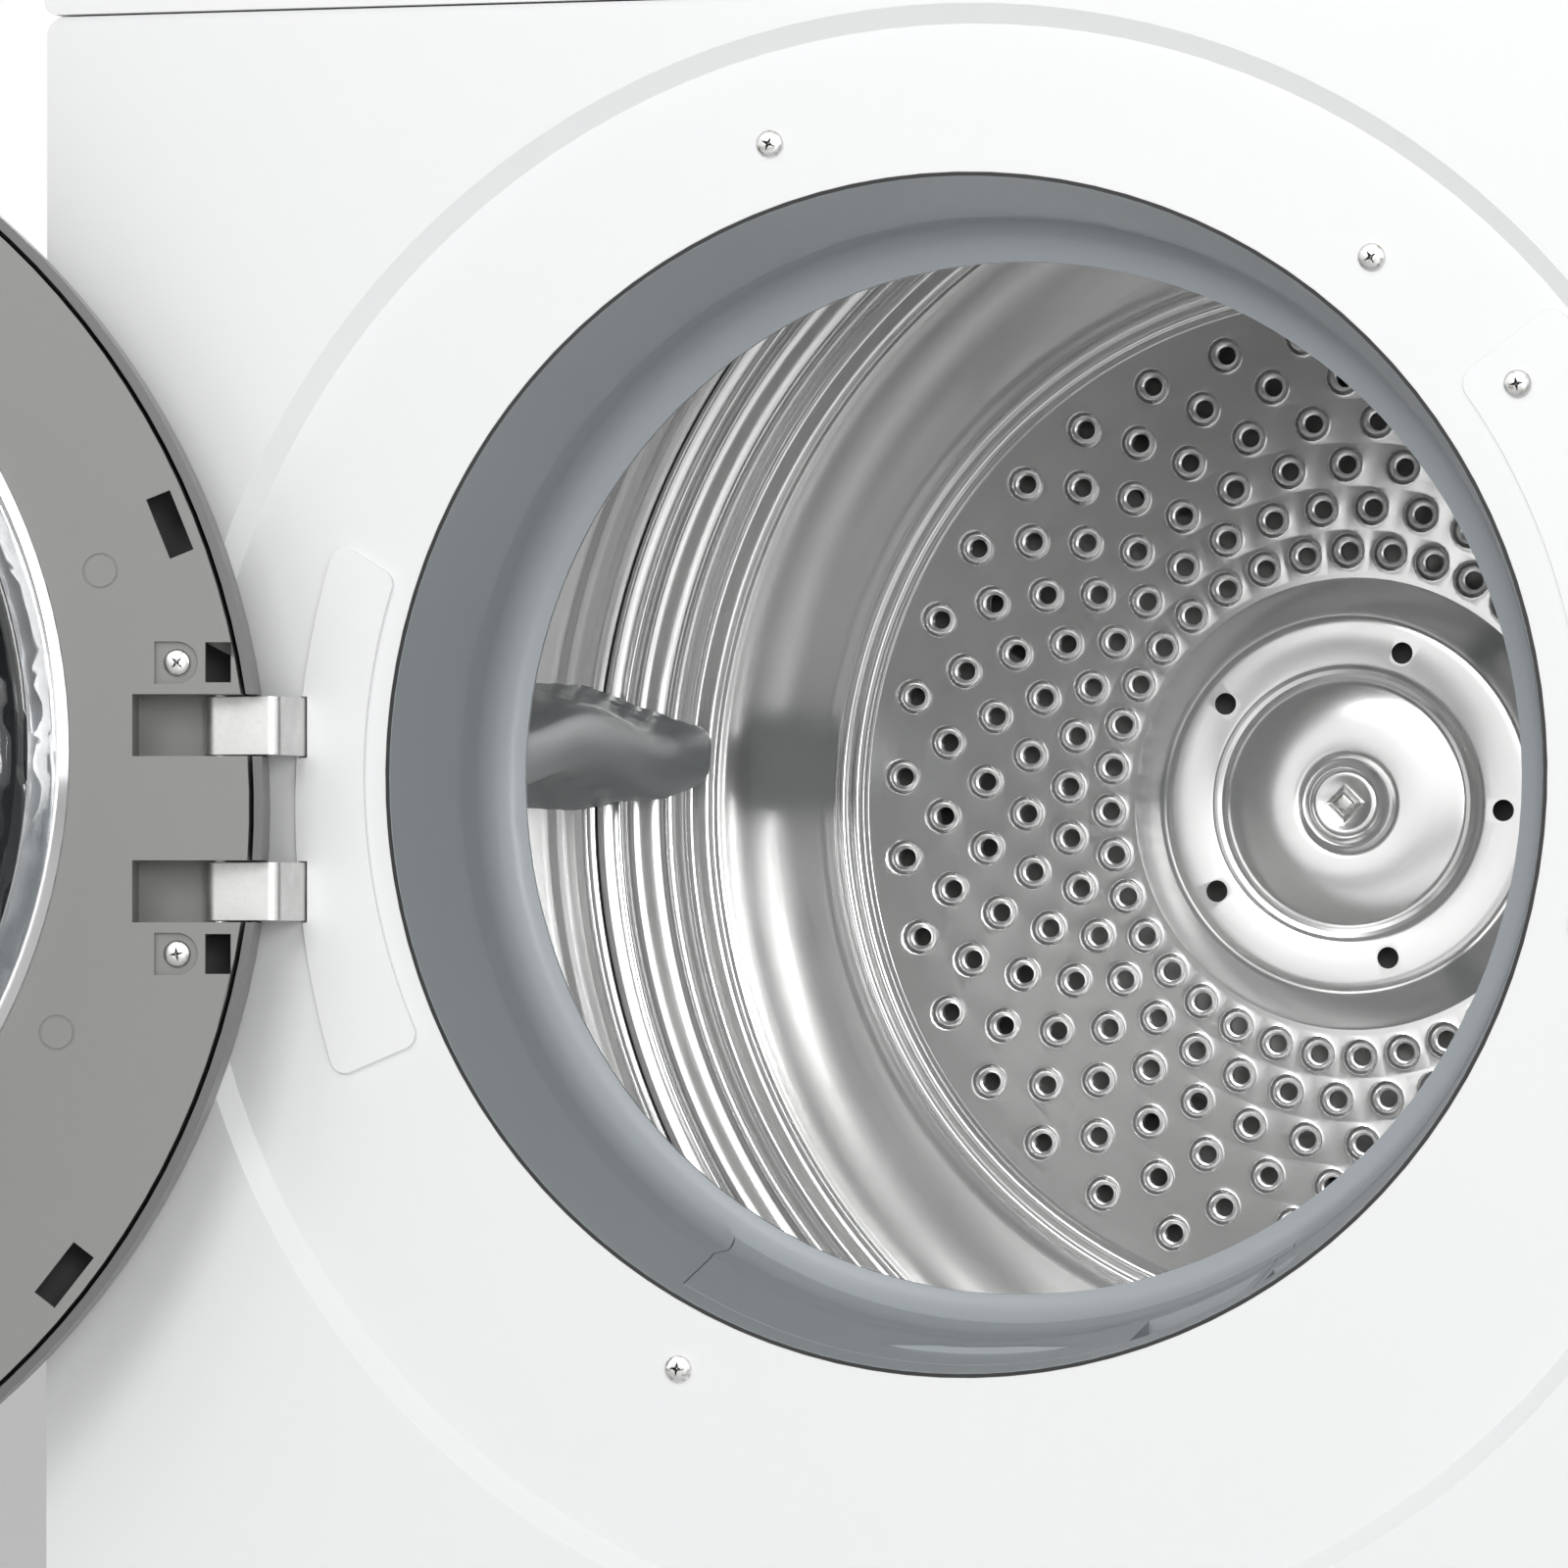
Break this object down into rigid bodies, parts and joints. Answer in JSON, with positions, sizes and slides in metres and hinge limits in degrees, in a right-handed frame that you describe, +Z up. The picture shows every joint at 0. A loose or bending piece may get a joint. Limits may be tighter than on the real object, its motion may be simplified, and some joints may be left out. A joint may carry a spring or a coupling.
{
  "type": "clothes dryer",
  "caption": "Front-loading tumble dryer with a round door open to the left, a steel drum with lifters, and heat pump parts inside.",
  "frame": {"origin": "on the floor under the middle of the cabinet, between the four feet", "axes": "+X to the right seen from the front, +Y to the back, +Z up"},
  "size_m": [1.0027, 0.82, 0.845],
  "materials": {
    "white_paint": "smooth satin white enamel",
    "white_laminate": "white laminated board",
    "white_plastic": "satin white moulding",
    "silver_plastic": "satin silver",
    "black_gloss": "gloss black",
    "grey_plastic": "smooth grey moulding",
    "door_grey": "fine textured warm grey",
    "graphite_plastic": "satin graphite",
    "smoked_window": "gloss smoked",
    "bright_trim": "bright",
    "clear_glass": "polished",
    "stainless": "brushed round the axis",
    "zinc_steel": "zinc plated, stained",
    "zinc_screw": "bright zinc",
    "aluminium_fin": "mill",
    "copper_pipe": "drawn",
    "black_paint": "semi-gloss black",
    "dark_plastic": "moulded",
    "black_rubber": "matt",
    "felt": "pressed wool felt"
  },
  "bodies": {
    "root": {"base_tray": "dark_plastic", "compressor": "black_paint", "condensate_pump": "dark_plastic", "control_board": "dark_plastic", "control_fascia": "white_plastic", "display_window": "black_gloss", "door_catch": "dark_plastic", "door_collar": "grey_plastic", "drawer_housing": "dark_plastic", "drive_belt": "black_rubber", "fan_housing": "dark_plastic", "felt_seals": "felt", "filter_housing": "dark_plastic", "front_bulkhead": "zinc_steel", "front_panel": "white_paint", "heat_exchangers": "aluminium_fin", "hinge_bracket": "zinc_steel", "hinge_cover_plate": "white_plastic", "latch_cover_plate": "white_plastic", "left_side_panel": "white_paint", "mains_gland": "dark_plastic", "motor_stator": "zinc_steel", "opening_gasket": "black_rubber", "panel_screws": "zinc_screw", "plinth_panel": "white_plastic", "rear_air_duct": "zinc_steel", "rear_bearing": "dark_plastic", "rear_bulkhead": "zinc_steel", "rear_panel": "zinc_steel", "refrigerant_pipes": "copper_pipe", "right_side_panel": "white_paint", "worktop": "white_laminate"},
    "door": {"door_inner_frame": "door_grey", "door_outer_ring": "graphite_plastic", "door_window": "smoked_window", "door_trim_ring": "bright_trim", "door_glass_bowl": "clear_glass", "door_screws": "zinc_screw", "latch_hook": "zinc_steel", "hinge_pins": "zinc_screw"},
    "drum": {"drum_shell": "stainless", "drum_back": "stainless", "drum_hub": "stainless", "drum_lifters": "grey_plastic"},
    "motor": {"motor_rotor": "zinc_screw", "fan_wheel": "dark_plastic"},
    "tension_arm": {"idler_arm": "zinc_steel"},
    "tension_pulley": {"idler_pulley": "dark_plastic"},
    "left_roller": {"support_roller_left": "dark_plastic"},
    "right_roller": {"support_roller_right": "dark_plastic"},
    "knob": {"programme_knob": "silver_plastic"},
    "power_key": {"power_button": "silver_plastic"},
    "start_key": {"start_button": "silver_plastic"},
    "water_drawer": {"condensate_container": "white_plastic"},
    "filter": {"lint_filter": "grey_plastic"},
    "flap": {"service_flap": "white_plastic"},
    "foot_fl": {"foot_front_left": "black_rubber"},
    "foot_fr": {"foot_front_right": "black_rubber"},
    "foot_rl": {"foot_rear_left": "black_rubber"},
    "foot_rr": {"foot_rear_right": "black_rubber"}
  },
  "joints": [
    {"name": "door_hinge", "type": "hinge", "parent": "root", "child": "door", "pos_m": [-0.234, -0.3184, 0.452], "axis": [0, 0, 1], "range_deg": [0, 165]},
    {"name": "drum_spin", "type": "hinge", "parent": "root", "child": "drum", "pos_m": [0, 0, 0.46], "axis": [0, 1, 0], "continuous": true},
    {"name": "motor_spin", "type": "hinge", "parent": "root", "child": "motor", "pos_m": [0.15, 0, 0.118], "axis": [0, 1, 0], "continuous": true},
    {"name": "tension_arm_swing", "type": "hinge", "parent": "root", "child": "tension_arm", "pos_m": [0.105, 0, 0.062], "axis": [0, 1, 0], "range_deg": [0, 10], "stiffness_Nm_per_rad": 2, "springref_deg": -17.19},
    {"name": "tension_pulley_spin", "type": "hinge", "parent": "tension_arm", "child": "tension_pulley", "pos_m": [0.06, 0, 0.105], "axis": [0, 1, 0], "continuous": true},
    {"name": "left_roller_spin", "type": "hinge", "parent": "root", "child": "left_roller", "pos_m": [-0.1552, 0, 0.19119], "axis": [0, 1, 0], "continuous": true},
    {"name": "right_roller_spin", "type": "hinge", "parent": "root", "child": "right_roller", "pos_m": [0.1552, 0, 0.19119], "axis": [0, 1, 0], "continuous": true},
    {"name": "knob_turn", "type": "hinge", "parent": "root", "child": "knob", "pos_m": [-0.02, 0, 0.7625], "axis": [0, 1, 0], "continuous": true},
    {"name": "power_key_press", "type": "slide", "parent": "root", "child": "power_key", "axis": [0, 1, 0], "range_m": [0, 0.0015], "stiffness_N_per_m": 600, "springref_m": -0.002},
    {"name": "start_key_press", "type": "slide", "parent": "root", "child": "start_key", "axis": [0, 1, 0], "range_m": [0, 0.0015], "stiffness_N_per_m": 600, "springref_m": -0.002},
    {"name": "water_drawer_slide", "type": "slide", "parent": "root", "child": "water_drawer", "axis": [0, -1, 0], "range_m": [0, 0.3]},
    {"name": "filter_lift", "type": "slide", "parent": "root", "child": "filter", "axis": [0, 0, -1], "range_m": [-0.15, 0]},
    {"name": "flap_hinge", "type": "hinge", "parent": "root", "child": "flap", "pos_m": [-0.175, -0.3, 0.0265], "axis": [1, 0, 0], "range_deg": [0, 90]},
    {"name": "foot_fl_turn", "type": "hinge", "parent": "root", "child": "foot_fl", "pos_m": [-0.25, -0.251, 0], "axis": [0, 0, 1], "range_deg": [-180, 180]},
    {"name": "foot_fr_turn", "type": "hinge", "parent": "root", "child": "foot_fr", "pos_m": [0.25, -0.251, 0], "axis": [0, 0, 1], "range_deg": [-180, 180]},
    {"name": "foot_rl_turn", "type": "hinge", "parent": "root", "child": "foot_rl", "pos_m": [-0.25, 0.251, 0], "axis": [0, 0, 1], "range_deg": [-180, 180]},
    {"name": "foot_rr_turn", "type": "hinge", "parent": "root", "child": "foot_rr", "pos_m": [0.25, 0.251, 0], "axis": [0, 0, 1], "range_deg": [-180, 180]}
  ],
  "couplings": [
    {"joint": "motor_spin", "follows": "drum_spin", "ratio": 26.327},
    {"joint": "tension_pulley_spin", "follows": "drum_spin", "ratio": 12.982},
    {"joint": "left_roller_spin", "follows": "drum_spin", "ratio": -9.3333},
    {"joint": "right_roller_spin", "follows": "drum_spin", "ratio": -9.3333}
  ]
}
